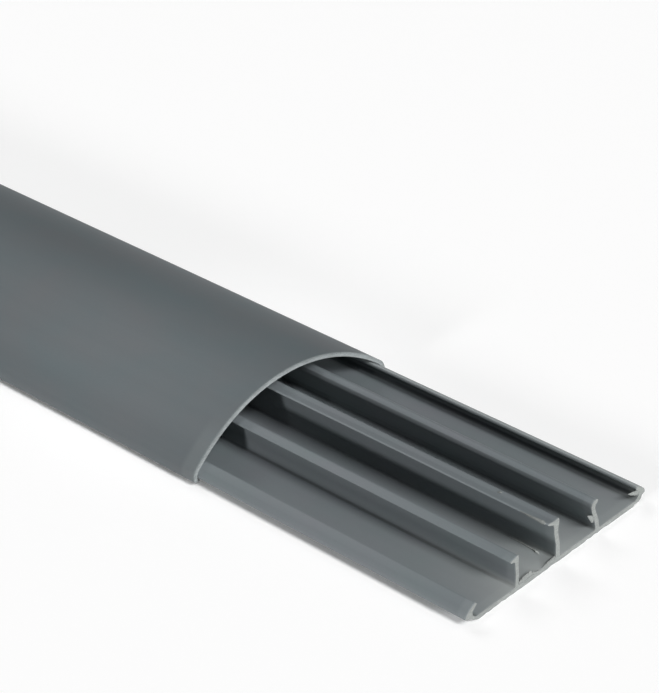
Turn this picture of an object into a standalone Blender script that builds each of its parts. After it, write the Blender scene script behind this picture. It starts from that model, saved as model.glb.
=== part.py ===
"""Floor cord cover: an extruded tray with three partition ribs, and the arched cover that clips on it.

Both pieces are one metre lengths of grey PVC. The cover is slid back along the tray, so that the
tray's sawn end shows. Metres, +Z up. The origin is the middle of the tray's flat underside, +X runs
along the length towards the end that shows, and +Y runs across it, away from the viewer.
"""
import math

import bmesh
import bpy

MM = 0.001

# Overall sizes: trade size 75 x 18 mm, sold in 1 m lengths
LENGTH = 1000.0 * MM
WIDTH = 75.0 * MM
HEIGHT = 18.0 * MM
COVER_SLID_BACK = 88.8 * MM
GAP = 0.3 * MM

# Cover section
COVER_WALL = 1.2 * MM
SHOULDER_RADIUS = 3.6 * MM
SHOULDER_LEVEL = 2.2 * MM
LEG_BOTTOM = 1.3 * MM
LEG_CORNER_RADIUS = 0.6 * MM
TOE_REACH = 0.8 * MM
TOE_TIP_THICKNESS = 0.45 * MM
CROWN_STEPS = 44
SHOULDER_STEPS = 5
CORNER_STEPS = 3
# The sawn front end leans back towards the crown by this much for each metre of height
CUT_LEAN = 0.13

# Tray section
PLATE_THICKNESS = 1.4 * MM
UNDERSIDE_HALF_WIDTH = 31.4 * MM
LIP_THICKNESS = 0.95 * MM
LIP_TIP_LEVEL = 5.6 * MM
LIP_TIP_HALF_WIDTH = 32.9 * MM
FOOT_LEVEL = 2.2 * MM
RIB_FILLET = 0.9 * MM
FILLET_STEPS = 3

# Colour of the grey PVC, linear RGB
PVC_COLOUR = (0.145, 0.168, 0.174, 1.0)
COVER_ROUGHNESS = 0.46
TRAY_ROUGHNESS = 0.5


def clear_scene():
    """Remove every object, so that the file holds this model alone."""
    for old in list(bpy.data.objects):
        bpy.data.objects.remove(old, do_unlink=True)


def pvc_material(name, roughness):
    """Satin grey plastic."""
    material = bpy.data.materials.new(name)
    material.use_nodes = True
    shader = material.node_tree.nodes["Principled BSDF"]
    shader.inputs["Base Color"].default_value = PVC_COLOUR
    shader.inputs["Roughness"].default_value = roughness
    shader.inputs["Metallic"].default_value = 0.0
    return material


def arc(centre, radius, start, end, steps):
    """Points of an arc in (y, z); angles in radians from straight up, towards +Y."""
    turn = (end - start) / steps
    return [
        (
            centre[0] + radius * math.sin(start + turn * step),
            centre[1] + radius * math.cos(start + turn * step),
        )
        for step in range(steps + 1)
    ]


def mirrored(points):
    """The same run of points on the other side, in reverse order."""
    return [(-y, z) for y, z in reversed(points)]


def shoulder_centre():
    """Centre of the tight arc that turns the far side of the crown down into the leg."""
    return (WIDTH / 2 - SHOULDER_RADIUS, SHOULDER_LEVEL)


def crown_radius():
    """Outer radius of the crown, which meets both shoulder arcs without a corner."""
    across = shoulder_centre()[0]
    rise = HEIGHT - SHOULDER_LEVEL
    return (across ** 2 + rise ** 2 - SHOULDER_RADIUS ** 2) / (2 * (rise - SHOULDER_RADIUS))


def crown_centre():
    """Centre of the crown's arc, on the middle line below the floor."""
    return (0.0, HEIGHT - crown_radius())


def shoulder_start():
    """Angle from straight up at which the crown hands over to the shoulder."""
    across, level = shoulder_centre()
    return math.atan2(across, level - crown_centre()[1])


def cover_outline():
    """Section of the arched cover: crown, shoulders, short legs and the toes turned in below them."""
    centre = shoulder_centre()
    quarter = math.pi / 2
    half_width = WIDTH / 2
    corner_centre = (half_width - LEG_CORNER_RADIUS, LEG_BOTTOM + LEG_CORNER_RADIUS)
    leg_inside = half_width - COVER_WALL

    crown = arc(crown_centre(), crown_radius(), -shoulder_start(), shoulder_start(), CROWN_STEPS)
    shoulder = arc(centre, SHOULDER_RADIUS, shoulder_start(), quarter, SHOULDER_STEPS)
    corner = arc(corner_centre, LEG_CORNER_RADIUS, quarter, 2 * quarter, CORNER_STEPS)
    toe = [
        (leg_inside - TOE_REACH + 0.1 * MM, LEG_BOTTOM),
        (leg_inside - TOE_REACH, LEG_BOTTOM + 0.15 * MM),
        (leg_inside - TOE_REACH + 0.1 * MM, LEG_BOTTOM + TOE_TIP_THICKNESS),
        (leg_inside, SHOULDER_LEVEL - 0.1 * MM),
    ]
    inner_radius = SHOULDER_RADIUS - COVER_WALL
    inner_shoulder = arc(centre, inner_radius, quarter, shoulder_start(), SHOULDER_STEPS)
    far_side = shoulder[1:] + corner + toe + inner_shoulder
    inner_crown = arc(
        crown_centre(), crown_radius() - COVER_WALL, shoulder_start(), -shoulder_start(), CROWN_STEPS
    )
    return crown + far_side + inner_crown[1:-1] + mirrored(far_side)


def edge_outline():
    """Far edge of the tray, from the underside out round the foot, up the lip and in to the plate's top."""
    centre = shoulder_centre()
    foot_radius = SHOULDER_RADIUS - COVER_WALL - GAP
    lip_angle = math.radians(38.0)
    foot = arc(centre, foot_radius, math.radians(84.0), lip_angle, 4)
    tip_inside_y = LIP_TIP_HALF_WIDTH - LIP_THICKNESS * math.sin(lip_angle)
    tip_inside_z = LIP_TIP_LEVEL - LIP_THICKNESS * math.cos(lip_angle)
    return [
        (UNDERSIDE_HALF_WIDTH, 0.0),
        (UNDERSIDE_HALF_WIDTH + 1.8 * MM, 1.0 * MM),
        (UNDERSIDE_HALF_WIDTH + 3.0 * MM, 1.85 * MM),
        (WIDTH / 2 - COVER_WALL - GAP - 0.3 * MM, FOOT_LEVEL),
    ] + foot + [
        (LIP_TIP_HALF_WIDTH, LIP_TIP_LEVEL),
        (LIP_TIP_HALF_WIDTH - 0.45 * MM, LIP_TIP_LEVEL + 0.05 * MM),
        (tip_inside_y - 0.2 * MM, tip_inside_z + 0.15 * MM),
        (33.7 * MM, 3.6 * MM),
        (33.5 * MM, 2.6 * MM),
        (32.8 * MM, 1.8 * MM),
        (31.8 * MM, PLATE_THICKNESS),
    ]


def foot_fillet(face_y, side):
    """Fillet between the plate and the rib's face on one side (+1 far, -1 near), from the plate up."""
    centre = (face_y + side * RIB_FILLET, PLATE_THICKNESS + RIB_FILLET)
    points = arc(centre, RIB_FILLET, math.pi, math.pi * (1 + 0.5 * side), FILLET_STEPS)
    return points


def near_rib():
    """Near rib, from its far foot over the flanged head to its near foot."""
    return foot_fillet(-15.95 * MM, 1) + [
        (-16.0 * MM, 5.2 * MM),
        (-16.45 * MM, 8.6 * MM),
        (-16.3 * MM, 9.9 * MM),
        (-16.6 * MM, 10.8 * MM),
        (-17.0 * MM, 10.9 * MM),
        (-18.8 * MM, 10.5 * MM),
        (-19.5 * MM, 10.1 * MM),
        (-19.4 * MM, 9.75 * MM),
        (-17.9 * MM, 9.4 * MM),
        (-17.65 * MM, 8.4 * MM),
        (-17.2 * MM, 5.0 * MM),
    ] + foot_fillet(-17.15 * MM, -1)[::-1]


def middle_rib():
    """Middle rib, the tallest: its stem sways to the near side and carries a wide flange."""
    return foot_fillet(0.45 * MM, 1) + [
        (0.2 * MM, 5.4 * MM),
        (-0.75 * MM, 9.2 * MM),
        (-0.85 * MM, 10.6 * MM),
        (-0.6 * MM, 12.2 * MM),
        (-0.75 * MM, 13.5 * MM),
        (-1.2 * MM, 13.6 * MM),
        (-2.6 * MM, 13.45 * MM),
        (-4.7 * MM, 13.75 * MM),
        (-5.05 * MM, 13.45 * MM),
        (-4.7 * MM, 13.1 * MM),
        (-2.9 * MM, 12.4 * MM),
        (-2.5 * MM, 11.4 * MM),
        (-2.3 * MM, 9.4 * MM),
        (-1.35 * MM, 5.6 * MM),
    ] + foot_fillet(-1.15 * MM, -1)[::-1]


def far_rib():
    """Far rib: its stem leans to the near side and its top curls over to the far side."""
    return foot_fillet(16.7 * MM, 1) + [
        (16.3 * MM, 4.0 * MM),
        (15.3 * MM, 6.4 * MM),
        (14.5 * MM, 8.3 * MM),
        (14.45 * MM, 9.2 * MM),
        (15.5 * MM, 10.1 * MM),
        (15.45 * MM, 10.7 * MM),
        (14.9 * MM, 11.0 * MM),
        (14.0 * MM, 10.95 * MM),
        (13.1 * MM, 10.3 * MM),
        (12.85 * MM, 9.2 * MM),
        (13.15 * MM, 8.0 * MM),
        (14.0 * MM, 5.8 * MM),
        (14.9 * MM, 3.4 * MM),
    ] + foot_fillet(15.15 * MM, -1)[::-1]


def tray_outline():
    """Section of the tray, anticlockwise from its near bottom corner."""
    far_edge = edge_outline()
    return far_edge + far_rib() + middle_rib() + near_rib() + mirrored(far_edge)


def extrusion(name, outline, back_x, front_x, cut_lean, material):
    """Closed solid of one section between two sawn ends.

    The front end leans back by cut_lean for each metre of height; the back end is square.
    """
    mesh = bpy.data.meshes.new(name)
    form = bmesh.new()
    back_ring = [form.verts.new((back_x, y, z)) for y, z in outline]
    front_ring = [form.verts.new((front_x - cut_lean * z, y, z)) for y, z in outline]
    count = len(outline)
    for step in range(count):
        after = (step + 1) % count
        form.faces.new((back_ring[step], back_ring[after], front_ring[after], front_ring[step]))
    form.faces.new(front_ring)
    form.faces.new(back_ring[::-1])
    bmesh.ops.recalc_face_normals(form, faces=form.faces[:])
    form.to_mesh(mesh)
    form.free()
    mesh.materials.append(material)
    mesh.shade_smooth()
    mesh.set_sharp_from_angle(angle=math.radians(30.0))
    piece = bpy.data.objects.new(name, mesh)
    bpy.context.scene.collection.objects.link(piece)
    return piece


def build_tray():
    """Extruded tray, lying on its flat underside."""
    material = pvc_material("tray_grey_pvc", TRAY_ROUGHNESS)
    return extrusion("tray", tray_outline(), -LENGTH / 2, LENGTH / 2, 0.0, material)


def build_cover():
    """Extruded arched cover, hooked round the tray's feet and slid back along them."""
    material = pvc_material("cover_grey_pvc", COVER_ROUGHNESS)
    front_x = LENGTH / 2 - COVER_SLID_BACK
    return extrusion("cover", cover_outline(), front_x - LENGTH, front_x, CUT_LEAN, material)


def main():
    """Build the two extrusions."""
    clear_scene()
    build_tray()
    build_cover()


main()
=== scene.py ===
"""Looks of a one metre floor cord cover: an extruded tray with three ribs and the arched cover on it.

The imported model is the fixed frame. Both extrusions are swept again here, finer, from the same
sections, with softened corners, sawn ends, saw burrs and a satin grey PVC finish. Lengths are metres
and +Z is up. +X runs along the length towards the open end, and +Y across it, away from the camera.
"""

import logging
import math
from dataclasses import dataclass
from enum import Enum
from typing import Any, Union

import bpy
import numpy as np
from mathutils import Euler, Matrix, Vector
from mathutils.geometry import delaunay_2d_cdt


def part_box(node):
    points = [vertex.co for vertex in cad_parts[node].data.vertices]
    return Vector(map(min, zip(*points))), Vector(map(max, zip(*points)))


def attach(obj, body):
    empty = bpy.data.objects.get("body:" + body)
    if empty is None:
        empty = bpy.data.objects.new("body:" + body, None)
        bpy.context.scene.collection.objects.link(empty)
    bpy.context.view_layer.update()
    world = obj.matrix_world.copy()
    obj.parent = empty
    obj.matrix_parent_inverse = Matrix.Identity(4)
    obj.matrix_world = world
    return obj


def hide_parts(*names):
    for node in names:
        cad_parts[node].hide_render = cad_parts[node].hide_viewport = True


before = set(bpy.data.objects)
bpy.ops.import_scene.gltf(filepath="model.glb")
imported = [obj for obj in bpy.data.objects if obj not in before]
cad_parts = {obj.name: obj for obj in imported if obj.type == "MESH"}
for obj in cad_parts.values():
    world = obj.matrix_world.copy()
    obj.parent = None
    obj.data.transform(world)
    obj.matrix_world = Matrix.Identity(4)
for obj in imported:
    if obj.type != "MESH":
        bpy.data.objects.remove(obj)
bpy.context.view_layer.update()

LOG = logging.getLogger("floor_cord_cover")
MM = 0.001
QUARTER = math.pi / 2
NEARLY_HALF = 0.49

# The photograph's height in pixels, and the camera's sensor along it in millimetres
PHOTO_HEIGHT = 693
SENSOR = 36.0

# Linear colours of the lights, of the painted shade, and of the pale tone that is partly sawdust and
# partly painted light, and the plastic's index of refraction
WHITE = (1.0, 1.0, 1.0, 1.0)
DUST_AND_LIGHT_COLOUR = (0.42, 0.44, 0.43, 1.0)
PAINTED_SHADE_COLOUR = (0.016, 0.021, 0.022, 1.0)
PVC_IOR = 1.53

# Distances from a cut over which the pale tone on the channel floors and the painted light under the far
# lip fall to 1/e, and the width of the pale fringe
DUST_AND_LIGHT_REACH = 16 * MM
UNDER_LIP_LIGHT_REACH = 40 * MM
FRINGE = 0.5 * MM

# Bends at which an edge starts to be worn pale and is fully worn, and the same for a corner and its
# painted shade
RUBBED_BEND = (0.25, 0.9)
SHADED_BEND = (-0.15, -0.5)

# Shortest wavelength, longest wavelength and number of waves of each unevenness of an extrusion
WIDTH_SWAY = (90 * MM, 500 * MM, 4)
HEIGHT_SWAY = (50 * MM, 300 * MM, 5)
SIDE_SWAY = (70 * MM, 400 * MM, 4)
CHIPPING = (0.6 * MM, 7 * MM, 6)
SAW_SCORES = (0.5 * MM, 5 * MM, 7)

# How far an unevenness is put off for each metre across, so that it runs aslant
HEIGHT_SLANT = 3.0
SIDE_SLANT = 5.0
SCORE_SLANT = 0.18

# Share by which an extrusion shrinks and swells, and how high and how far back its front edge is chipped
SWAY = 0.002
CHIPPED_HEIGHT = 0.6 * MM
CHIPPED_DEPTH = 0.5 * MM

# Stations of a sweep: a count and the first step for the stretch at each end, and a count between them
END_STRETCH = 45 * MM
END_STATIONS = 18
FIRST_STEP = 0.1 * MM
MIDDLE_STATIONS = 64

# Fineness of a section, and the reach and turn by which its bends and sharp edges are told
LONGEST_SIDE = 1.5 * MM
CROWN_STEPS = 150
SHOULDER_STEPS = 14
INNER_SHOULDER_STEPS = 12
CORNER_STEPS = 6
FOOT_STEPS = 14
FILLET_STEPS = 7
ROUNDING_STEPS = 3
BEND_REACH = 0.4 * MM
SHARP_TURN = math.radians(35.0)

# Points inside a sawn end: their pitch, the share of it that they are moved by, and their way to the rim
END_PITCH = 0.45 * MM
JITTER = 0.3
RIM_CLEARANCE = 0.25 * MM

# Kind of triangulation that keeps to the outline, and the millimetres under which it merges points
INSIDE_ONLY = 1
MERGE_REACH = 1e-7

# Steps along a burr, points round it, and the share by which they are moved in and out
BURR_STEPS = 22
BURR_SIDES = 8
RAGGED = 0.22


class Body(Enum):
    """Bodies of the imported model, each with the node it holds."""

    TRAY = "tray"
    COVER = "cover"


class Slot(Enum):
    """Material slots of the record."""

    TRAY = "tray_pvc"
    COVER = "cover_pvc"


class Trait(Enum):
    """Numbers kept at each point of an extrusion for its finish to read."""

    CUT = "cut_distance"
    BEND = "bend"


class Pattern(Enum):
    """Noises of the finishes: waves to the metre along X, Y and Z, octaves, and a move in waves."""

    STREAKS = ((1.5, 420.0, 420.0), 3.0, 0.0)
    CLOUDS = ((7.0, 40.0, 40.0), 3.0, 3.0)
    PATCHES = ((45.0, 75.0, 75.0), 3.0, 11.0)
    GRAIN = ((1500.0, 2600.0, 2600.0), 2.0, 7.0)
    SAW_LINES = ((300.0, 500.0, 3200.0), 2.0, 0.0)
    SAW_GRAIN = ((2500.0, 2500.0, 2500.0), 2.0, 5.0)
    SCORCH = ((90.0, 90.0, 90.0), 2.0, 9.0)


class Zone(Enum):
    """Stretches over which a finish fades in, in millimetres: where it is 0, and where it is full."""

    FLANK_HEIGHT = (8, 14)
    LIP_TIP_ACROSS = (31.9, 32.5)
    LIP_TIP_HEIGHT = (4.9, 5.6)
    LIP_BACK_ACROSS = (33.7, 33.9)
    GUTTER_ACROSS = (30.9, 32.2)
    GUTTER_HEIGHT = (2.1, 2.9)
    UNDER_LIP_ACROSS = (31, 32)
    UNDER_LIP_FOOT = (2.2, 3.2)
    UNDER_LIP_TOP = (4.4, 5.2)
    FLOOR_HEIGHT = (1.7, 3.6)
    NEAR_FADE = (-33, -14)
    FAR_FADE = (-2, 20)


def arc(centre: tuple[float, float], radius: float, start: float, end: float, steps: int) -> np.ndarray:
    """Points of an arc in the section plane: centre + radius * (sin a, cos a) for a from start to end.

    Args:
        centre: Centre as (y, z).
        radius: Radius.
        start: First angle, in radians from straight up towards +Y.
        end: Last angle.
        steps: Number of equal steps.

    Returns:
        Array of steps + 1 rows of (y, z).
    """
    angle = np.linspace(start, end, steps + 1)
    return np.column_stack([centre[0] + radius * np.sin(angle), centre[1] + radius * np.cos(angle)])


def mirrored(points: np.ndarray) -> np.ndarray:
    """The same run of section points on the other side, in reverse order."""
    return points[::-1] * (-1.0, 1.0)


def softened(corners: np.ndarray, reach: float, gentle: float, steps: int) -> np.ndarray:
    """Closed outline whose sharp corners are turned into short quadratic curves.

    At a sharp corner C the curve is (1 - t)^2 A + 2 t (1 - t) C + t^2 B, where A and B lie on the two
    sides that meet there, at reach from C or nearly half a side away. A gentle corner stays a point.

    Args:
        corners: Rows of (y, z) round the outline.
        reach: Distance from a corner at which its curve starts.
        gentle: Turn in radians below which a corner is left alone.
        steps: Steps in each curve.

    Returns:
        Rows of (y, z).
    """
    before = np.roll(corners, 1, axis=0) - corners
    after = np.roll(corners, -1, axis=0) - corners
    length_before = np.linalg.norm(before, axis=1, keepdims=True)
    length_after = np.linalg.norm(after, axis=1, keepdims=True)
    start = corners + before / length_before * np.minimum(reach, length_before * NEARLY_HALF)
    end = corners + after / length_after * np.minimum(reach, length_after * NEARLY_HALF)
    t = np.linspace(0.0, 1.0, steps + 1)[None, :, None]
    curve = (1 - t) ** 2 * start[:, None] + 2 * t * (1 - t) * corners[:, None] + t ** 2 * end[:, None]
    straightness = -np.sum(before * after, axis=1) / (length_before * length_after)[:, 0]
    sharp = straightness < math.cos(gentle)
    curve[~sharp, 0] = corners[~sharp]
    kept = np.repeat(sharp[:, None], steps + 1, axis=1)
    kept[:, 0] = True
    return curve[kept]


def divided(outline: np.ndarray, longest: float) -> np.ndarray:
    """Closed outline with points put in so that no side is longer than a limit.

    Args:
        outline: Rows of (y, z).
        longest: Longest side allowed.

    Returns:
        Rows of (y, z), the old points among them.
    """
    sides = np.roll(outline, -1, axis=0) - outline
    parts = np.maximum(1, np.ceil(np.linalg.norm(sides, axis=1) / longest)).astype(int)
    side = np.repeat(np.arange(len(outline)), parts)
    first = np.repeat(np.cumsum(parts) - parts, parts)
    share = (np.arange(parts.sum()) - first) / parts[side]
    return outline[side] + share[:, None] * sides[side]


def distance_round(outline: np.ndarray) -> np.ndarray:
    """Distance along a closed outline from its first point to each point."""
    return np.concatenate([[0.0], np.cumsum(np.linalg.norm(np.diff(outline, axis=0), axis=1))])


def bend_at(outline: np.ndarray, reach: float) -> np.ndarray:
    """How sharply a closed anticlockwise outline bends at each point.

    The bend is the turn from the chord behind the point to the chord ahead of it, each of length
    reach along the outline, as a share of a quarter turn: positive on an edge, negative in a corner.

    Args:
        outline: Rows of (y, z).
        reach: Distance looked along to each side.

    Returns:
        One value for each point.
    """
    place = distance_round(outline)
    around = place[-1] + np.linalg.norm(outline[0] - outline[-1])
    closed = np.vstack([outline, outline[:1]])
    closed_place = np.append(place, around)

    def at(where: np.ndarray) -> np.ndarray:
        """Points of the outline at distances along it."""
        where = np.mod(where, around)
        return np.column_stack([np.interp(where, closed_place, closed[:, k]) for k in (0, 1)])

    ahead = at(place + reach) - outline
    behind = outline - at(place - reach)
    cross = behind[:, 0] * ahead[:, 1] - behind[:, 1] * ahead[:, 0]
    return np.arctan2(cross, np.sum(behind * ahead, axis=1)) / QUARTER


@dataclass(frozen=True)
class Ripple:
    """Smooth one-dimensional noise: a sum of sines with seeded phases.

    Attributes:
        shortest: Shortest wavelength.
        longest: Longest wavelength.
        waves: Number of sines, their wavelengths at equal ratios.
        seed: Seed of the phases.
    """

    shortest: float
    longest: float
    waves: int
    seed: int

    def at(self, place: np.ndarray) -> np.ndarray:
        """Noise of about -1 to 1: the mean of sin(2 pi place / wavelength + phase), times 1.5.

        Args:
            place: Distances, of any shape.

        Returns:
            Values of the same shape.
        """
        phases = np.random.default_rng(self.seed).uniform(0.0, 2 * math.pi, self.waves)
        lengths = np.geomspace(self.shortest, self.longest, self.waves)
        angle = place[..., None] * (2 * math.pi / lengths) + phases
        return np.clip(np.sin(angle).mean(axis=-1) * 1.5, -1.0, 1.0)


def within(outline: np.ndarray, points: np.ndarray) -> np.ndarray:
    """Whether points lie within a closed outline, by the even-odd rule.

    A point is inside where a ray from it towards +Y crosses the outline an odd number of times.

    Args:
        outline: Rows of (y, z).
        points: Rows of (y, z).

    Returns:
        One truth value for each point.
    """
    start, end = outline, np.roll(outline, -1, axis=0)
    y, z = points[:, :1], points[:, 1:]
    spans = (start[:, 1] > z) != (end[:, 1] > z)
    rise = np.where(end[:, 1] == start[:, 1], 1.0, end[:, 1] - start[:, 1])
    crossing = start[:, 0] + (z - start[:, 1]) * (end[:, 0] - start[:, 0]) / rise
    return np.sum(spans & (y < crossing), axis=1) % 2 == 1


@dataclass(frozen=True)
class Burr:
    """A thorn, flake or strand of plastic that the saw left standing at the tray's open end.

    Attributes:
        seed: Seed of its raggedness.
        stations: Stations along it, as (x, y, z, half width, half thickness) in millimetres, with x
            counted from the open end.
        facing: Direction of its thickness.
        torn: Whether it is a shred that was torn loose, and so whitened right through.
    """

    seed: int
    stations: tuple[tuple[float, float, float, float, float], ...]
    facing: tuple[float, float, float] = (1.0, 0.0, 0.0)
    torn: bool = False

    def skin(self, end: float) -> tuple[np.ndarray, np.ndarray]:
        """Closed skin: an ellipse carried along the stations, between two poles.

        A point is centre(t) + ragged * (across(t) * cos(a) * side + thick(t) * sin(a) * face), where
        face is the facing made square to the way along, side is square to both, and ragged is 1 + noise.
        Nothing stands out past the end.

        Args:
            end: X of the tray's open end.

        Returns:
            Points, and triangles that point outwards.
        """
        steps, around = BURR_STEPS, BURR_SIDES
        stations = np.array(self.stations)
        t = np.linspace(0.0, 1.0, steps)
        stops = np.linspace(0.0, 1.0, len(stations))
        path = stations[:, :3] * MM + (end, 0.0, 0.0)
        centre = np.column_stack([np.interp(t, stops, path[:, k]) for k in range(3)])
        along = np.gradient(centre, axis=0)
        along /= np.linalg.norm(along, axis=1, keepdims=True)
        face = np.array(self.facing) - along * (along @ np.array(self.facing))[:, None]
        face /= np.linalg.norm(face, axis=1, keepdims=True)
        side = np.cross(along, face)
        angle = np.arange(around) * (2 * math.pi / around)
        ragged = 1 + np.random.default_rng(self.seed).uniform(-RAGGED, RAGGED, (steps, around))
        across = np.interp(t, stops, stations[:, 3])[:, None] * MM * ragged * np.cos(angle)
        thick = np.interp(t, stops, stations[:, 4])[:, None] * MM * ragged * np.sin(angle)
        rings = centre[:, None] + across[..., None] * side[:, None] + thick[..., None] * face[:, None]
        index = np.arange(steps * around).reshape(steps, around)
        after = np.roll(index, -1, axis=1)
        sheets = [
            np.stack([index[:-1], after[:-1], after[1:]], axis=-1),
            np.stack([index[:-1], after[1:], index[1:]], axis=-1),
            np.stack([np.full(around, steps * around), after[0], index[0]], axis=-1)[None],
            np.stack([np.full(around, steps * around + 1), index[-1], after[-1]], axis=-1)[None],
        ]
        triangles = np.vstack([sheet.reshape(-1, 3) for sheet in sheets])
        points = np.vstack([rings.reshape(-1, 3), centre[:1], centre[-1:]])
        points[:, 0] = np.minimum(points[:, 0], end)
        corners = points[triangles] - centre[0]
        volume = np.sum(corners[:, 0] * np.cross(corners[:, 1], corners[:, 2]))
        return points, triangles if volume > 0 else triangles[:, ::-1]


@dataclass(frozen=True)
class SawnExtrusion:
    """One section drawn along X and sawn off at both ends.

    Attributes:
        outline: Rows of (y, z), anticlockwise.
        back: X of the back end.
        front: X of the front end at floor level.
        lean: How far the front end leans back for each metre of height.
        sway: Share by which height and width shrink and swell along the length.
        tilt: How far an upright wanders sideways for each metre of its height.
        scored: Depth of the saw marks in the ends.
        torn: Height of the chips out of the underside's front edge.
        seed: Seed of the unevenness.
        burrs: What the saw left standing at the front end.
    """

    outline: np.ndarray
    back: float
    front: float
    lean: float
    sway: float
    tilt: float
    scored: float
    torn: float
    seed: int
    burrs: tuple[Burr, ...] = ()

    def shares(self) -> np.ndarray:
        """Stations along the length, at equal steps, but at equal ratios of distance near both ends.

        Returns:
            Shares of the length, from the back end to the front end.
        """
        length = self.front - self.back
        near = np.append(0.0, np.geomspace(FIRST_STEP, END_STRETCH, END_STATIONS))
        middle = np.linspace(END_STRETCH, length - END_STRETCH, MIDDLE_STATIONS)[1:-1]
        return np.concatenate([near, middle, length - near[::-1]]) / length

    def rings(self) -> tuple[np.ndarray, np.ndarray]:
        """Points of every ring along the length, and their distance from the nearer sawn end.

        X is back + share * (front - lean * z - back). Width and height are the section's own times
        1 - sway * (1 + noise(X)) / 2, so nothing stands out of the section, and an upright at height z
        is shifted by tilt * z * noise(X). At the front the underside's edge is chipped upwards.

        Returns:
            Array of (stations, points, 3), and array of (stations, points).
        """
        share = self.shares()[:, None]
        y, z = self.outline[:, 0], self.outline[:, 1]
        reach = self.front - self.lean * z - self.back
        x = self.back + share * reach
        cut = np.minimum(share, 1 - share) * reach
        wide = Ripple(*WIDTH_SWAY, self.seed).at(x)
        high = Ripple(*HEIGHT_SWAY, self.seed + 1).at(x + HEIGHT_SLANT * y)
        aside = Ripple(*SIDE_SWAY, self.seed + 2).at(x + SIDE_SLANT * y)
        new_y = y * (1 - self.sway * (1 + wide) / 2) + self.tilt * z * aside
        chips = np.maximum(Ripple(*CHIPPING, self.seed + 3).at(y), 0.0)
        depth = np.clip(1 - z / CHIPPED_HEIGHT, 0.0, 1.0)
        lift = self.torn * chips * depth * np.exp(-(1 - share) * reach / CHIPPED_DEPTH)
        new_z = z * (1 - self.sway * (1 + high) / 2) + lift
        return np.dstack([x, new_y, new_z]), cut

    def saw_marks(self, y: np.ndarray, z: np.ndarray) -> np.ndarray:
        """Depth of a sawn end below its true plane: scored * (1 + noise) / 2 across slanting lines."""
        marks = Ripple(*SAW_SCORES, self.seed + 4).at(z + SCORE_SLANT * y)
        return self.scored * (1 + marks) / 2

    def end_face(self, ring: np.ndarray, inwards: int) -> tuple[np.ndarray, np.ndarray]:
        """Triangles over one sawn end, with points spread inside it that carry the saw marks.

        A point inside lies behind the rim's outermost X by its saw mark, and at the front by lean * z too.

        Args:
            ring: The end's rim, rows of (x, y, z).
            inwards: +1 at the back end and -1 at the front, the way along X into the piece.

        Returns:
            Points inside the rim, and triangles. A triangle's numbers count the rim's points first.
        """
        rim = ring[:, 1:]
        across, upwards = (np.arange(rim[:, k].min(), rim[:, k].max(), END_PITCH) for k in (0, 1))
        grid = np.stack(np.meshgrid(across, upwards), -1)
        spread = np.random.default_rng(self.seed + 5).uniform(-JITTER, JITTER, grid.shape) * END_PITCH
        inside = (grid + spread).reshape(-1, 2)
        inside = inside[within(rim, inside)]
        gaps = np.linalg.norm(inside[:, None] - rim, axis=2).min(axis=1)
        inside = inside[gaps > RIM_CLEARANCE]
        flat = [Vector(point) for point in np.vstack([rim, inside]) / MM]
        made = delaunay_2d_cdt(flat, [], [list(range(len(rim)))], INSIDE_ONLY, MERGE_REACH)
        source = np.array([origins[0] for origins in made[3]])
        triangles = source[np.array(made[2])]
        marks = self.saw_marks(inside[:, 0], inside[:, 1])
        if inwards > 0:
            return np.column_stack([ring[:, 0].min() + marks, inside]), triangles[:, ::-1]
        x = ring[:, 0].max() - (self.lean * inside[:, 1] + marks)
        return np.column_stack([x, inside]), triangles

    def mesh(self, name: str) -> bpy.types.Mesh:
        """Closed mesh of the extrusion: skin in material slot 0, sawn ends in 1, torn shreds in 2.

        Args:
            name: Name of the mesh.

        Returns:
            The mesh, with its traits, but without materials.
        """
        rings, cut = self.rings()
        stations, count = cut.shape
        index = np.arange(stations * count).reshape(stations, count)
        after = np.roll(index, -1, axis=1)
        quads = np.stack([index[:-1], after[:-1], after[1:], index[1:]], axis=-1).reshape(-1, 4)
        points = [rings.reshape(-1, 3)]
        faces = quads.tolist()
        slots = [0] * len(faces)
        total = rings.size // 3
        for station, inwards in ((-1, -1), (0, 1)):
            inner, triangles = self.end_face(rings[station], inwards)
            numbers = np.concatenate([index[station], total + np.arange(len(inner))])
            faces += numbers[triangles].tolist()
            slots += [1] * len(triangles)
            points.append(inner)
            total += len(inner)
        for burr in self.burrs:
            skin, triangles = burr.skin(self.front)
            faces += (total + triangles).tolist()
            slots += [2 if burr.torn else 1] * len(triangles)
            points.append(skin)
            total += len(skin)
        mesh = bpy.data.meshes.new(name)
        mesh.from_pydata(np.vstack(points).tolist(), [], faces)
        mesh.polygons.foreach_set("material_index", slots)
        bend = np.broadcast_to(bend_at(self.outline, BEND_REACH), cut.shape)
        for trait, values in ((Trait.CUT, cut), (Trait.BEND, bend)):
            store = mesh.attributes.new(trait.value, "FLOAT", "POINT")
            padded = np.zeros(total, dtype=np.float32)
            padded[:values.size] = values.ravel()
            store.data.foreach_set("value", padded)
        mesh.shade_smooth()
        mesh.set_sharp_from_angle(angle=SHARP_TURN)
        mesh.update()
        return mesh


@dataclass(frozen=True)
class Placing:
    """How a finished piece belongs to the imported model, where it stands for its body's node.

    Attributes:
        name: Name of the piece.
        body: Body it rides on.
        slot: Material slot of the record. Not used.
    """

    name: str
    body: Body
    slot: Slot

    def put(self, mesh: bpy.types.Mesh, *finishes: bpy.types.Material) -> bpy.types.Object:
        """Make the piece from its mesh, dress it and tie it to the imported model.

        Args:
            mesh: The finished mesh, in the frame's own place.
            finishes: Materials in the order of the mesh's slots.

        Returns:
            The piece.
        """
        for finish in finishes:
            mesh.materials.append(finish)
        piece = bpy.data.objects.new(self.name, mesh)
        bpy.context.scene.collection.objects.link(piece)
        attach(piece, self.body.value)
        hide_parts(self.body.value)
        box = (np.array(piece.bound_box) / MM).round(2)
        faces = len(mesh.polygons)
        LOG.info("%s: %d faces, from %s to %s mm", self.name, faces, box.min(axis=0), box.max(axis=0))
        return piece


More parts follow.
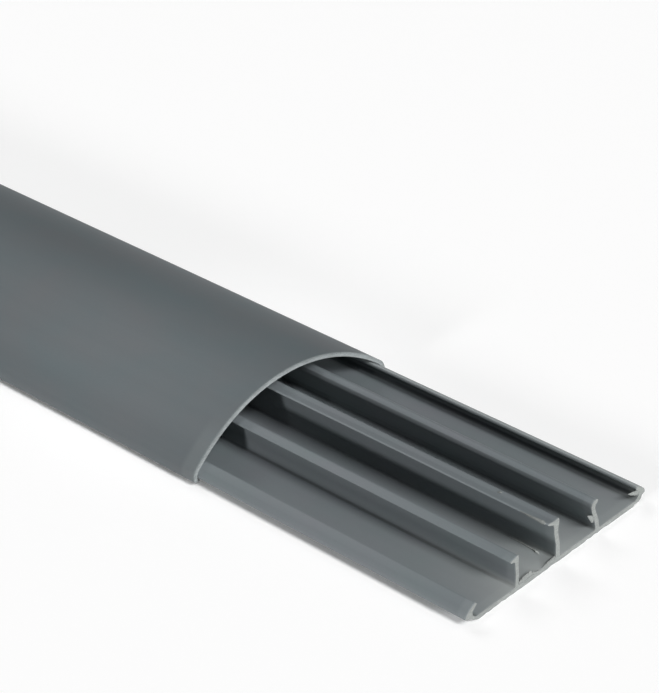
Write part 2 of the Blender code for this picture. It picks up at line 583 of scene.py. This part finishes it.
class Shade:
    """A shader socket with arithmetic: an expression on wrapped sockets adds its Math nodes."""

    def __init__(self, bench: "Bench", socket: bpy.types.NodeSocket) -> None:
        """Wrap an output socket of a node on a bench."""
        self.bench = bench
        self.socket = socket

    def _math(self, operation: str, *values: Union["Shade", float]) -> "Shade":
        """Result of one Math node fed with these values in order."""
        return self.bench.node("ShaderNodeMath", {"operation": operation}, dict(enumerate(values)))

    def __add__(self, other: Union["Shade", float]) -> "Shade":
        """Sum."""
        return self._math("ADD", self, other)

    __radd__ = __add__

    def __sub__(self, other: Union["Shade", float]) -> "Shade":
        """Difference."""
        return self._math("SUBTRACT", self, other)

    def __rsub__(self, other: float) -> "Shade":
        """Difference from a number."""
        return self._math("SUBTRACT", other, self)

    def __mul__(self, other: Union["Shade", float]) -> "Shade":
        """Product."""
        return self._math("MULTIPLY", self, other)

    __rmul__ = __mul__

    def clipped(self) -> "Shade":
        """The value held within 0 and 1."""
        return self.bench.node("ShaderNodeClamp", {}, {"Value": self})

    def size(self) -> "Shade":
        """The value without its sign."""
        return self._math("ABSOLUTE", self)

    def exp(self) -> "Shade":
        """E to the power of the value."""
        return self._math("EXPONENT", self)

    def step(self, start: float, full: float) -> "Shade":
        """Smooth rise from 0 at start to 1 at full."""
        settings = {"interpolation_type": "SMOOTHSTEP"}
        return self.bench.node("ShaderNodeMapRange", settings, {"Value": self, 1: start, 2: full})

    def into(self, zone: Zone) -> "Shade":
        """Smooth rise from 0 to 1 over a zone, for a value that is a place in metres."""
        start, full = zone.value
        return self.step(start * MM, full * MM)

    def out_of(self, zone: Zone) -> "Shade":
        """Smooth fall from 1 to 0 over a zone."""
        return 1.0 - self.into(zone)

    def spent(self, reach: float) -> "Shade":
        """Decay to exp(-1) over each reach, for a value that is a distance."""
        return (self * (-1 / reach)).exp()

    def varied(self, by: float) -> "Shade":
        """The value's departure from a half, times a number."""
        return (self - 0.5) * by


class Bench:
    """Node tree of one new material, where its shader is put together."""

    def __init__(self, name: str) -> None:
        """Start a material with nothing but its shader, its output and the place on the object.

        Args:
            name: Name of the material.
        """
        self.material = bpy.data.materials.new(name)
        self.material.use_nodes = True
        self.tree = self.material.node_tree
        self.shader = self.tree.nodes["Principled BSDF"]
        self.place = self.node("ShaderNodeTexCoord", {}, {}, "Object")

    def node(
        self,
        kind: str,
        settings: dict[str, Any],
        sockets: dict[Union[str, int], Any],
        output: Union[str, int] = 0,
    ) -> Shade:
        """Add a node.

        Args:
            kind: Node type.
            settings: The node's own settings, set before its sockets.
            sockets: Values or wrapped links for its input sockets, by name or number.
            output: Output socket to hand back.

        Returns:
            The wrapped output.
        """
        made = self.tree.nodes.new(kind)
        for name, value in settings.items():
            setattr(made, name, value)
        for name, value in sockets.items():
            if isinstance(value, Shade):
                self.tree.links.new(value.socket, made.inputs[name])
            else:
                made.inputs[name].default_value = value
        return Shade(self, made.outputs[output])

    def feed(self, socket: str, value: Shade) -> None:
        """Link a wrapped value to a socket of the shader."""
        self.tree.links.new(value.socket, self.shader.inputs[socket])

    def trait(self, trait: Trait) -> Shade:
        """A number kept at the points of the mesh."""
        return self.node("ShaderNodeAttribute", {"attribute_name": trait.value}, {}, "Fac")

    def noise(self, pattern: Pattern, shift: float = 0.0) -> Shade:
        """Noise of 0 to 1 over the piece.

        Args:
            pattern: Which noise.
            shift: Moves it on top of the pattern's own move, so that two pieces don't match.

        Returns:
            The wrapped value.
        """
        stretch, detail, moved = pattern.value
        sockets = {"Vector": self.place, "Location": (moved + shift,) * 3, "Scale": stretch}
        mapped = self.node("ShaderNodeMapping", {}, sockets)
        return self.node("ShaderNodeTexNoise", {}, {"Vector": mapped, "Scale": 1.0, "Detail": detail})

    def blend(self, factor: Shade, first: Any, second: Any) -> Shade:
        """Colour between two colours.

        Args:
            factor: 0 for the first and 1 for the second.
            first: Colour as four numbers, or a wrapped link.
            second: Colour as four numbers, or a wrapped link.

        Returns:
            The wrapped colour.
        """
        settings = {"data_type": "RGBA"}
        return self.node("ShaderNodeMix", settings, {"Factor": factor, 6: first, 7: second}, 2)

    def brightened(self, colour: Any, by: Shade) -> Shade:
        """A colour times a number."""
        return self.node("ShaderNodeVectorMath", {"operation": "SCALE"}, {0: colour, "Scale": by})

    def relief(self, height: Shade, depth: float, strength: float) -> None:
        """Bump the shader's surface by a height of 0 to 1 times a depth."""
        sockets = {"Strength": strength, "Distance": depth, "Height": height}
        self.feed("Normal", self.node("ShaderNodeBump", {}, sockets))


class Surface:
    """What the finish of a drawn surface is worked out from: its place, its traits and its noises.

    Attributes:
        cut: Distance from the nearer sawn end.
        bend: How sharply the section bends, positive on an edge and negative in a corner.
        across: Y.
        height: Z.
        streaks: Noise drawn out along the length.
        clouds: Broad, faint noise.
        patches: Noise that parts cooler from warmer.
        grain: Finest noise.
        within_lips: 1 between the lips' backs, and 0 outside them.
    """

    def __init__(self, bench: Bench, shift: float) -> None:
        """Read everything off the piece.

        Args:
            bench: Where the finish is put together.
            shift: Moves the noises, so that two pieces don't match.
        """
        self.cut = bench.trait(Trait.CUT)
        self.bend = bench.trait(Trait.BEND)
        self.across = bench.node("ShaderNodeSeparateXYZ", {}, {"Vector": bench.place}, "Y")
        self.height = bench.node("ShaderNodeSeparateXYZ", {}, {"Vector": bench.place}, "Z")
        self.streaks = bench.noise(Pattern.STREAKS, shift)
        self.clouds = bench.noise(Pattern.CLOUDS, shift)
        self.patches = bench.noise(Pattern.PATCHES, shift)
        self.grain = bench.noise(Pattern.GRAIN, shift)
        self.within_lips = self.across.size().out_of(Zone.LIP_BACK_ACROSS)


@dataclass(frozen=True)
class DrawnPvc:
    """Satin skin of extruded grey PVC: streaked along its length, cloudy, paler at edges and cuts, with
    painted light and painted shade.

    Attributes:
        name: Name of the material.
        cool: Linear colour of its cooler patches.
        warm: Linear colour of its warmer patches.
        pale_wear_and_light: Linear pale colour: whitened by the saw at a cut and worn on edges, and
            painted light beside a cut and on the far lip's tip.
        lit_band: Share of that colour in a band beside a cut, low on the flanks: painted light.
        band: Width of that band.
        lip_highlight: Share of that colour on the tip of the far lip: a painted highlight.
        dust_and_light_share: Share of a pale tone right at a cut in the channel before the middle rib,
            partly sawdust and partly painted light from the open end. It thins out to both sides, and
            painted light under the far lip fades away from the cut too.
        shade_share: Share of painted shade in the gutters at the lips' feet and in the inner corners.
        roughness: Roughness of the skin.
        shift: Moves the patterns, so that two pieces don't match.
    """

    name: str
    cool: tuple[float, float, float]
    warm: tuple[float, float, float]
    pale_wear_and_light: tuple[float, float, float]
    lit_band: float
    band: float
    lip_highlight: float
    dust_and_light_share: float
    shade_share: float
    roughness: float
    shift: float

    def clean(self, bench: Bench, on: Surface) -> Shade:
        """Colour of the clean skin: cooler and warmer patches, times streaks, clouds and grain.

        Args:
            bench: Where the finish is put together.
            on: The surface.

        Returns:
            The wrapped colour.
        """
        skin = bench.blend((on.patches * 2.4 - 0.7).clipped(), (*self.cool, 1.0), (*self.warm, 1.0))
        light = 1.0 + on.streaks.varied(0.14) + on.clouds.varied(0.18) + on.grain.varied(0.08)
        return bench.brightened(skin, light)

    def wear_and_light(self, on: Surface) -> Shade:
        """Share of the pale colour: whitened at a cut and worn on edges, with painted light in the band
        beside a cut and on the far lip's tip.

        Args:
            on: The surface.

        Returns:
            The wrapped share, the sum of all four.
        """
        fringe = (on.cut * (-1 / FRINGE) + 1.0 + on.grain.varied(1.2)).clipped() * 0.5
        # Painted light: a paler band beside a cut, low on the flanks
        band = (1.0 - on.cut.step(self.band * 0.7, self.band * 1.1)) * on.height.out_of(Zone.FLANK_HEIGHT)
        band = band * self.lit_band * (0.7 + on.clouds * 0.6)
        edges = on.bend.step(*RUBBED_BEND) * (0.10 + on.streaks.varied(0.3)).clipped()
        # Painted highlight on the tip of the far lip
        lip = on.across.into(Zone.LIP_TIP_ACROSS) * on.height.into(Zone.LIP_TIP_HEIGHT)
        lip = lip * self.lip_highlight * (0.5 + on.streaks)
        return fringe + band + edges + lip

    def painted_shade(self, on: Surface) -> Shade:
        """Share of painted shade: darker in the gutters at the lips' feet and in the inner corners, where
        shade falls.

        Args:
            on: The surface.

        Returns:
            The wrapped share.
        """
        # Painted shade: darker in the gutters at the lips' feet and in the inner corners
        gutter = on.across.size().into(Zone.GUTTER_ACROSS) * on.height.out_of(Zone.GUTTER_HEIGHT)
        corners = on.bend.step(*SHADED_BEND)
        return (gutter * on.within_lips + corners) * self.shade_share * (0.5 + on.clouds)

    def dust_and_light(self, on: Surface) -> Shade:
        """Share of the pale tone: partly sawdust and partly painted light on the channel floors near a
        cut, and painted light on the far lip's inner face.

        Args:
            on: The surface.

        Returns:
            The wrapped share.
        """
        # Pale tone on the channel floors near a cut, partly sawdust and partly painted light from the open
        # end
        spread = 0.2 + on.across.into(Zone.NEAR_FADE) * 0.8
        spread = spread * (1.0 - on.across.into(Zone.FAR_FADE) * 0.6)
        floor_dust_and_light = on.height.out_of(Zone.FLOOR_HEIGHT) * spread * on.cut.spent(DUST_AND_LIGHT_REACH)
        # Painted light on the far lip's inner face, fading away from the cut
        under_lip_light = on.across.into(Zone.UNDER_LIP_ACROSS) * on.within_lips
        under_lip_light = under_lip_light * on.height.into(Zone.UNDER_LIP_FOOT) * on.height.out_of(Zone.UNDER_LIP_TOP)
        under_lip_light = under_lip_light * on.cut.spent(UNDER_LIP_LIGHT_REACH) * 0.6
        return (floor_dust_and_light + under_lip_light) * self.dust_and_light_share * (0.7 + on.clouds * 0.6)

    def material(self) -> bpy.types.Material:
        """Put the finish together: the clean skin, its worn and painted pale places, painted shade, and
        the pale tone near the cuts.

        Returns:
            The material.
        """
        bench = Bench(self.name)
        on = Surface(bench, self.shift)
        # Pale colour: worn and whitened places, and painted light beside the cuts and on the far lip's tip
        skin = bench.blend(self.wear_and_light(on).clipped(), self.clean(bench, on), (*self.pale_wear_and_light, 1.0))
        # Painted shade in the gutters and the inner corners
        skin = bench.blend(self.painted_shade(on).clipped(), skin, PAINTED_SHADE_COLOUR)
        # Pale tone near the cuts, partly sawdust and partly painted light
        skin = bench.blend(self.dust_and_light(on).clipped(), skin, DUST_AND_LIGHT_COLOUR)
        bench.feed("Base Color", skin)
        bench.feed("Roughness", self.roughness + on.streaks.varied(0.14) + on.clouds.varied(0.10))
        bench.relief(on.streaks * 0.6 + on.grain * 0.4, 0.02 * MM, 0.35)
        bench.shader.inputs["IOR"].default_value = PVC_IOR
        return bench.material


@dataclass(frozen=True)
class SawnPvc:
    """Sawn PVC: dull, whitened and scored across by the saw.

    Attributes:
        name: Name of the material.
        colour: Linear colour of the sawn face.
        deep: Linear colour in its grooves.
        roughness: Roughness of the face.
    """

    name: str
    colour: tuple[float, float, float]
    deep: tuple[float, float, float]
    roughness: float

    def material(self) -> bpy.types.Material:
        """Put the finish together: saw lines and grain in a face that the saw scorched here and there.

        Returns:
            The material.
        """
        bench = Bench(self.name)
        lines = bench.noise(Pattern.SAW_LINES)
        grain = bench.noise(Pattern.SAW_GRAIN)
        scorch = bench.noise(Pattern.SCORCH)
        height = (lines * 0.7 + grain * 0.3).step(0.3, 0.7)
        face = bench.blend(height, (*self.deep, 1.0), (*self.colour, 1.0))
        bench.feed("Base Color", bench.brightened(face, 1.0 + scorch.varied(0.5)))
        bench.relief(height, 0.05 * MM, 0.6)
        bench.shader.inputs["Roughness"].default_value = self.roughness
        return bench.material


@dataclass
class CoverPiece:
    """Arched cover, one extrusion that hooks round the tray's feet.

    Attributes:
        half_width: Half the width over the legs.
        height: Height of the crown's outside.
        wall: Wall thickness.
        shoulder: Outer radius of the shoulders.
        shoulder_level: Height of the shoulders' centre.
        leg_bottom: Height of the legs' underside.
        leg_corner: Outer radius at the foot of a leg.
        toe_reach: How far a toe turns in from its leg.
        toe_tip: Thickness at a toe's tip.
        toe_bevel: How far the tip's two edges are cut back from it.
        toe_rise: Height over which its lower edge is cut back.
        toe_drop: How far below the shoulders' centre a toe's upper side meets its leg.
        lean: How far the sawn front end leans back for each metre of height.
        softness: Distance from a sharp corner at which its rounding starts.
        gentle: Turn in radians below which a corner isn't rounded.
    """

    half_width: float = 37.5 * MM
    height: float = 18.0 * MM
    wall: float = 1.2 * MM
    shoulder: float = 3.6 * MM
    shoulder_level: float = 2.2 * MM
    leg_bottom: float = 1.3 * MM
    leg_corner: float = 0.6 * MM
    toe_reach: float = 0.8 * MM
    toe_tip: float = 0.45 * MM
    toe_bevel: float = 0.1 * MM
    toe_rise: float = 0.15 * MM
    toe_drop: float = 0.1 * MM
    lean: float = 0.13
    softness: float = 0.12 * MM
    gentle: float = math.radians(14.0)

    def outline(self) -> np.ndarray:
        """Section of the cover.

        The crown is one arc that meets both shoulder arcs without a corner: with the shoulder's centre
        at (a, level) and the rise r = height - level, its radius is (a^2 + r^2 - shoulder^2) divided by
        2 (r - shoulder). The inner side runs parallel to it at one wall, and the toes turn in below.

        Returns:
            Rows of (y, z), anticlockwise.
        """
        across = self.half_width - self.shoulder
        centre = (across, self.shoulder_level)
        rise = self.height - self.shoulder_level
        crown_radius = (across ** 2 + rise ** 2 - self.shoulder ** 2) / (2 * (rise - self.shoulder))
        crown_centre = (0.0, self.height - crown_radius)
        turn = math.atan2(across, self.shoulder_level - crown_centre[1])
        corner = (self.half_width - self.leg_corner, self.leg_bottom + self.leg_corner)
        inside = self.half_width - self.wall
        tip = inside - self.toe_reach
        crown = arc(crown_centre, crown_radius, -turn, turn, CROWN_STEPS)
        toe = np.array([
            (tip + self.toe_bevel, self.leg_bottom),
            (tip, self.leg_bottom + self.toe_rise),
            (tip + self.toe_bevel, self.leg_bottom + self.toe_tip),
            (inside, self.shoulder_level - self.toe_drop),
        ])
        far_side = np.vstack([
            arc(centre, self.shoulder, turn, QUARTER, SHOULDER_STEPS)[1:],
            arc(corner, self.leg_corner, QUARTER, 2 * QUARTER, CORNER_STEPS),
            toe,
            arc(centre, self.shoulder - self.wall, QUARTER, turn, INNER_SHOULDER_STEPS),
        ])
        inner = arc(crown_centre, crown_radius - self.wall, turn, -turn, CROWN_STEPS)[1:-1]
        return np.vstack([crown, far_side, inner, mirrored(far_side)])[::-1]

    def build(self, skin: bpy.types.Material, sawn: bpy.types.Material) -> bpy.types.Object:
        """Sweep the cover and dress it.

        Args:
            skin: Finish of the drawn surface.
            sawn: Finish of the sawn ends.

        Returns:
            The piece.
        """
        low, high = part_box(Body.COVER.value)
        outline = softened(self.outline(), self.softness, self.gentle, ROUNDING_STEPS)
        extrusion = SawnExtrusion(
            outline=divided(outline, LONGEST_SIDE),
            back=low.x,
            front=high.x + self.lean * self.leg_bottom,
            lean=self.lean,
            sway=SWAY,
            tilt=0.0,
            scored=0.10 * MM,
            torn=0.0,
            seed=11,
        )
        placing = Placing("arched_cover", Body.COVER, Slot.COVER)
        return placing.put(extrusion.mesh(placing.name), skin, sawn)


@dataclass
class TrayPiece:
    """Flat tray with a lip along each edge and three ribs, one extrusion.

    Attributes:
        cover: The cover that wraps round the feet, each round the same centre as a shoulder.
        plate: Thickness of the plate.
        half_underside: Half the width of the flat underside.
        gap: Gap between the feet and the cover.
        foot_angle: Angle from straight up at which a foot's arc starts, in radians.
        lip_angle: Angle at which it runs out into the lip.
        lip_foot: Half the width between the lips where they stand on the plate.
        fillet: Radius at the foot of each rib.
        softness: Distance from a sharp corner at which its rounding starts.
        gentle: Turn in radians below which a corner isn't rounded.
        burrs: What the saw left standing at the open end.
    """

    cover: CoverPiece
    plate: float = 1.4 * MM
    half_underside: float = 31.4 * MM
    gap: float = 0.1 * MM
    foot_angle: float = math.radians(86.0)
    lip_angle: float = math.radians(45.0)
    lip_foot: float = 32.1 * MM
    fillet: float = 0.6 * MM
    softness: float = 0.16 * MM
    gentle: float = math.radians(9.0)
    burrs: tuple[Burr, ...] = (
        # Thorn from the far rib's stem
        Burr(1, ((-0.35, 14.6, 5.2, 1.4, 0.3), (-0.3, 13.3, 6.0, 0.7, 0.25),
                 (-0.2, 11.5, 7.5, 0.04, 0.04))),
        # Thorn from the far lip over the last channel
        Burr(2, ((-0.35, 33.8, 3.1, 0.9, 0.3), (-0.3, 31.8, 3.9, 0.6, 0.25),
                 (-0.25, 30.4, 4.4, 0.42, 0.2), (-0.2, 28.9, 5.1, 0.05, 0.05))),
        # Flake under the far foot
        Burr(3, ((-0.3, 31.9, 0.55, 0.4, 0.25), (-0.3, 33.2, 0.75, 0.6, 0.25),
                 (-0.28, 34.2, 0.9, 0.65, 0.22), (-0.25, 34.8, 1.3, 0.35, 0.2),
                 (-0.2, 35.0, 1.9, 0.25, 0.15))),
        # Stubs on the far and near foot
        Burr(4, ((-0.3, 35.1, 2.75, 0.4, 0.25), (-0.25, 35.7, 2.6, 0.25, 0.2),
                 (-0.2, 36.15, 2.4, 0.05, 0.06))),
        Burr(5, ((-0.3, -35.2, 2.75, 0.4, 0.25), (-0.25, -35.7, 2.6, 0.25, 0.2),
                 (-0.2, -36.15, 2.4, 0.05, 0.06))),
        # Ragged flakes along the plate, from the near rib to the middle rib
        Burr(6, ((-0.3, -15.6, 1.7, 0.6, 0.25), (-0.35, -14.2, 1.8, 0.75, 0.3),
                 (-0.4, -12.6, 1.8, 0.85, 0.3), (-0.4, -11.0, 2.0, 0.8, 0.35),
                 (-0.4, -10.2, 1.6, 0.5, 0.3), (-0.3, -9.0, 1.4, 0.35, 0.25),
                 (-0.3, -7.2, 1.2, 0.1, 0.1))),
        Burr(7, ((-0.3, -6.6, 1.3, 0.1, 0.1), (-0.3, -4.4, 1.5, 0.35, 0.3),
                 (-0.3, -2.4, 1.6, 0.5, 0.35), (-0.3, -1.2, 1.9, 0.3, 0.25))),
        # Shred lying at the middle rib's foot
        Burr(8, ((-14.2, -1.5, 1.5, 0.05, 0.05), (-10.0, -1.65, 1.5, 0.14, 0.14),
                 (-6.6, -1.85, 1.45, 0.2, 0.16), (-5.2, -2.1, 1.5, 0.5, 0.25),
                 (-4.1, -2.5, 1.42, 0.12, 0.1)), (0.0, 0.3, 1.0), torn=True),
        # Strand along the middle rib's flange, and a small flake on it
        Burr(9, ((-10.2, -4.75, 13.5, 0.08, 0.08), (-7.0, -4.95, 13.55, 0.2, 0.16),
                 (-3.5, -5.05, 13.6, 0.36, 0.25), (-1.6, -5.1, 13.65, 0.55, 0.3),
                 (-0.9, -5.15, 13.6, 0.25, 0.2)), (0.0, -0.6, 1.0)),
        Burr(10, ((-18.0, -2.2, 13.5, 0.15, 0.06), (-17.4, -1.9, 13.62, 0.5, 0.1),
                  (-16.9, -1.6, 13.5, 0.15, 0.05)), (0.0, 0.0, 1.0)),
    )

    def edge(self) -> np.ndarray:
        """Far edge, from the underside out round the foot, up the lip and in to the plate's top.

        Returns:
            Rows of (y, z).
        """
        cover = self.cover
        centre = (cover.half_width - cover.shoulder, cover.shoulder_level)
        radius = cover.shoulder - cover.wall - self.gap
        under = np.array([(33.2, 0.95), (34.4, 1.92), (35.8, 2.12)]) * MM
        lip = np.array([
            (34.75, 4.55), (33.85, 5.15), (32.9, 5.6), (32.45, 5.65), (32.1, 5.0),
            (33.7, 3.6), (33.5, 2.5), (32.9, 1.8),
        ]) * MM
        return np.vstack([
            [(self.half_underside, 0.0)],
            under,
            arc(centre, radius, self.foot_angle, self.lip_angle, FOOT_STEPS),
            lip,
            [(self.lip_foot, self.plate)],
        ])

    def rib(self, far_face: float, near_face: float, head: list[tuple[float, float]]) -> np.ndarray:
        """A rib from its far foot over its head to its near foot, with a fillet at each foot.

        Args:
            far_face: Y of its far face at the foot.
            near_face: Y of its near face at the foot.
            head: Corners of the rest of the rib, in millimetres.

        Returns:
            Rows of (y, z).
        """
        level = self.plate + self.fillet
        far = arc((far_face + self.fillet, level), self.fillet, 2 * QUARTER, 3 * QUARTER, FILLET_STEPS)
        near = arc((near_face - self.fillet, level), self.fillet, QUARTER, 2 * QUARTER, FILLET_STEPS)
        return np.vstack([far, np.array(head) * MM, near])

    def outline(self) -> np.ndarray:
        """Section of the tray: far edge, far, middle and near rib, near edge.

        Returns:
            Rows of (y, z), anticlockwise.
        """
        far_rib = self.rib(far_face=16.7 * MM, near_face=15.15 * MM, head=[
            (16.3, 4.0), (15.3, 6.4), (14.5, 8.3), (14.45, 9.2), (15.5, 10.1), (15.45, 10.7), (14.9, 11.0),
            (14.0, 10.95), (13.1, 10.3), (12.85, 9.2), (13.15, 8.0), (14.0, 5.8), (14.9, 3.4),
        ])
        middle_rib = self.rib(far_face=0.45 * MM, near_face=-1.15 * MM, head=[
            (0.2, 5.4), (-0.75, 9.2), (-0.85, 10.6), (-0.6, 12.2), (-0.75, 13.5), (-1.2, 13.6),
            (-2.6, 13.45), (-4.7, 13.75), (-5.05, 13.45), (-4.7, 13.1), (-2.9, 12.4), (-2.5, 11.4),
            (-2.3, 9.4), (-1.35, 5.6),
        ])
        near_rib = self.rib(far_face=-15.95 * MM, near_face=-17.15 * MM, head=[
            (-16.0, 5.2), (-16.45, 8.6), (-16.3, 9.9), (-16.6, 10.8), (-17.0, 10.9), (-18.8, 10.5),
            (-19.5, 10.1), (-19.4, 9.75), (-17.9, 9.4), (-17.65, 8.4), (-17.2, 5.0),
        ])
        edge = self.edge()
        return np.vstack([edge, far_rib, middle_rib, near_rib, mirrored(edge)])

    def build(
        self, skin: bpy.types.Material, sawn: bpy.types.Material, torn: bpy.types.Material
    ) -> bpy.types.Object:
        """Sweep the tray and dress it.

        Args:
            skin: Finish of the drawn surface.
            sawn: Finish of the sawn ends.
            torn: Finish of the shreds that the saw tore loose.

        Returns:
            The piece.
        """
        low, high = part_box(Body.TRAY.value)
        outline = softened(self.outline(), self.softness, self.gentle, ROUNDING_STEPS)
        extrusion = SawnExtrusion(
            outline=divided(outline, LONGEST_SIDE),
            back=low.x,
            front=high.x,
            lean=0.0,
            sway=SWAY,
            tilt=0.008,
            scored=0.12 * MM,
            torn=0.45 * MM,
            seed=23,
            burrs=self.burrs,
        )
        placing = Placing("ribbed_tray", Body.TRAY, Slot.TRAY)
        return placing.put(extrusion.mesh(placing.name), skin, sawn, torn)


def hung(data: bpy.types.Light, stand: Vector, back: Vector) -> bpy.types.Object:
    """Hang a lamp in the scene, unseen by the camera.

    Args:
        data: The lamp.
        stand: Where it stands.
        back: Direction from what it lights to the lamp.

    Returns:
        The light.
    """
    light = bpy.data.objects.new(data.name, data)
    light.location = stand
    light.rotation_euler = back.to_track_quat("Z", "Y").to_euler()
    light.visible_camera = False
    bpy.context.scene.collection.objects.link(light)
    return light


@dataclass(frozen=True)
class SoftLight:
    """A broad studio light, so far off that it lights the whole length alike.

    Attributes:
        name: Name of the light.
        azimuth: Where it stands, in degrees round from -Y towards +X.
        elevation: Height above the horizon in degrees.
        spread: Its apparent width in degrees.
        strength: Its power on a surface that faces it, in watts for each square metre.
    """

    name: str
    azimuth: float
    elevation: float
    spread: float
    strength: float

    def hang(self) -> bpy.types.Object:
        """Put up the light.

        Returns:
            The light.
        """
        data = bpy.data.lights.new(self.name, "SUN")
        data.energy = self.strength
        data.angle = math.radians(self.spread)
        turn, rise = math.radians(self.azimuth), math.radians(self.elevation)
        level = math.cos(rise)
        back = Vector((math.sin(turn) * level, -math.cos(turn) * level, math.sin(rise)))
        return hung(data, Vector(), back)


@dataclass(frozen=True)
class SoftSpot:
    """A small lamp with a soft cone, which lifts the crown behind the cover's sawn front end.

    Attributes:
        name: Name of the light.
        stand: Where it stands.
        aim: Point that it faces.
        cone: Full angle of its cone in degrees.
        width: Its diameter.
        power: Its power in watts.
    """

    name: str
    stand: tuple[float, float, float]
    aim: tuple[float, float, float]
    cone: float
    width: float
    power: float

    def hang(self) -> bpy.types.Object:
        """Put up the lamp.

        Returns:
            The light.
        """
        data = bpy.data.lights.new(self.name, "SPOT")
        data.spot_size = math.radians(self.cone)
        data.spot_blend = 1.0
        data.shadow_soft_size = self.width / 2
        data.energy = self.power
        stand = Vector(self.stand)
        return hung(data, stand, stand - Vector(self.aim))


@dataclass
class Studio:
    """Pale floor, soft light and the camera at the photograph's angle.

    Attributes:
        eye: Where the camera stands.
        pitch: How far it looks down, in degrees.
        yaw: How far it is turned from +Y towards -X, in degrees.
        focal_pixels: Its focal length in pixels of the photograph.
        sight: Nearest and farthest that it sees.
        floor_reach: Half the side of the floor.
        floor_colour: Linear colour of the floor.
        floor_roughness: Roughness of the floor.
        floor_glow: Light that the floor gives of itself, as a backlit table does.
        sky: Strength of the light from all round.
        lights: The broad lights and the lamp.
    """

    eye: tuple[float, float, float] = (0.7722, -0.38565, 0.3449)
    pitch: float = 31.13
    yaw: float = 42.074
    focal_pixels: float = 2351.3
    sight: tuple[float, float] = (0.01, 100.0)
    floor_reach: float = 20.0
    floor_colour: tuple[float, float, float] = (0.95, 0.95, 0.95)
    floor_roughness: float = 0.9
    floor_glow: float = 0.08
    sky: float = 0.03
    lights: tuple[Union[SoftLight, SoftSpot], ...] = (
        SoftLight("end_light", azimuth=90.0, elevation=40.0, spread=14.0, strength=1.62),
        SoftLight("low_end_light", azimuth=90.0, elevation=12.0, spread=10.0, strength=2.2),
        SoftLight("top_light", azimuth=70.0, elevation=52.0, spread=14.0, strength=0.86),
        SoftLight("low_key", azimuth=0.0, elevation=14.0, spread=8.0, strength=1.12),
        SoftLight("far_end_light", azimuth=-90.0, elevation=42.0, spread=20.0, strength=0.31),
        SoftLight("rear_light", azimuth=-113.0, elevation=38.0, spread=20.0, strength=0.23),
        SoftLight("rear_fill", azimuth=150.0, elevation=40.0, spread=20.0, strength=0.12),
        SoftSpot("crown_spot", (0.36, -0.25, 0.45), (0.375, 0.0, 0.018), cone=13.5, width=0.04, power=1.1),
    )

    def place_camera(self) -> bpy.types.Object:
        """Set up the scene's camera.

        Returns:
            The camera.
        """
        data = bpy.data.cameras.new("camera")
        data.sensor_width = SENSOR
        data.lens = SENSOR * self.focal_pixels / PHOTO_HEIGHT
        data.clip_start, data.clip_end = self.sight
        camera = bpy.data.objects.new("camera", data)
        camera.location = self.eye
        camera.rotation_euler = Euler((math.radians(90.0 - self.pitch), 0.0, math.radians(self.yaw)))
        bpy.context.scene.collection.objects.link(camera)
        bpy.context.scene.camera = camera
        return camera

    def lay_floor(self) -> bpy.types.Object:
        """Lay the plain floor.

        Returns:
            The floor.
        """
        bench = Bench("pale_floor")
        bench.shader.inputs["Base Color"].default_value = (*self.floor_colour, 1.0)
        bench.shader.inputs["Roughness"].default_value = self.floor_roughness
        bench.shader.inputs["Emission Color"].default_value = WHITE
        bench.shader.inputs["Emission Strength"].default_value = self.floor_glow
        reach = self.floor_reach
        mesh = bpy.data.meshes.new("pale_floor")
        corners = [(-reach, -reach, 0.0), (reach, -reach, 0.0), (reach, reach, 0.0), (-reach, reach, 0.0)]
        mesh.from_pydata(corners, [], [(0, 1, 2, 3)])
        mesh.materials.append(bench.material)
        floor = bpy.data.objects.new("pale_floor", mesh)
        bpy.context.scene.collection.objects.link(floor)
        return floor

    def light(self) -> None:
        """Hang the lights and set the light from all round."""
        world = bpy.data.worlds.new("studio")
        world.use_nodes = True
        background = world.node_tree.nodes["Background"]
        background.inputs["Color"].default_value = WHITE
        background.inputs["Strength"].default_value = self.sky
        bpy.context.scene.world = world
        for lamp in self.lights:
            lamp.hang()

    def set_up(self) -> None:
        """Set up the camera, the floor and the lights."""
        bpy.context.scene.view_settings.view_transform = "Standard"
        bpy.context.scene.view_settings.look = "None"
        self.place_camera()
        self.lay_floor()
        self.light()
        LOG.info("studio: camera, floor and lights in place")


def main() -> None:
    """Build the two extrusions and the studio round them."""
    logging.basicConfig(level=logging.INFO, format="%(name)s: %(message)s")
    Studio().set_up()
    cover_skin = DrawnPvc(
        name="cover_skin",
        cool=(0.096, 0.118, 0.126),
        warm=(0.107, 0.118, 0.125),
        pale_wear_and_light=(0.24, 0.27, 0.27),
        lit_band=0.16,
        band=5 * MM,
        lip_highlight=0.0,
        dust_and_light_share=0.0,
        shade_share=0.0,
        roughness=0.60,
        shift=0.0,
    ).material()
    tray_skin = DrawnPvc(
        name="tray_skin",
        cool=(0.145, 0.172, 0.179),
        warm=(0.156, 0.169, 0.182),
        pale_wear_and_light=(0.34, 0.37, 0.37),
        lit_band=0.12,
        band=3 * MM,
        lip_highlight=0.8,
        dust_and_light_share=0.65,
        shade_share=0.5,
        roughness=0.52,
        shift=20.0,
    ).material()
    sawn = SawnPvc(
        name="sawn_pvc",
        colour=(0.232, 0.245, 0.236),
        deep=(0.165, 0.177, 0.172),
        roughness=0.75,
    ).material()
    torn = SawnPvc(
        name="torn_pvc",
        colour=(0.42, 0.44, 0.42),
        deep=(0.33, 0.35, 0.34),
        roughness=0.6,
    ).material()
    rim = SawnPvc(
        name="sawn_cover_pvc",
        colour=(0.222, 0.242, 0.245),
        deep=(0.165, 0.182, 0.184),
        roughness=0.7,
    ).material()
    cover = CoverPiece()
    cover.build(cover_skin, rim)
    TrayPiece(cover).build(tray_skin, sawn, torn)


if __name__ == "__main__":
    main()
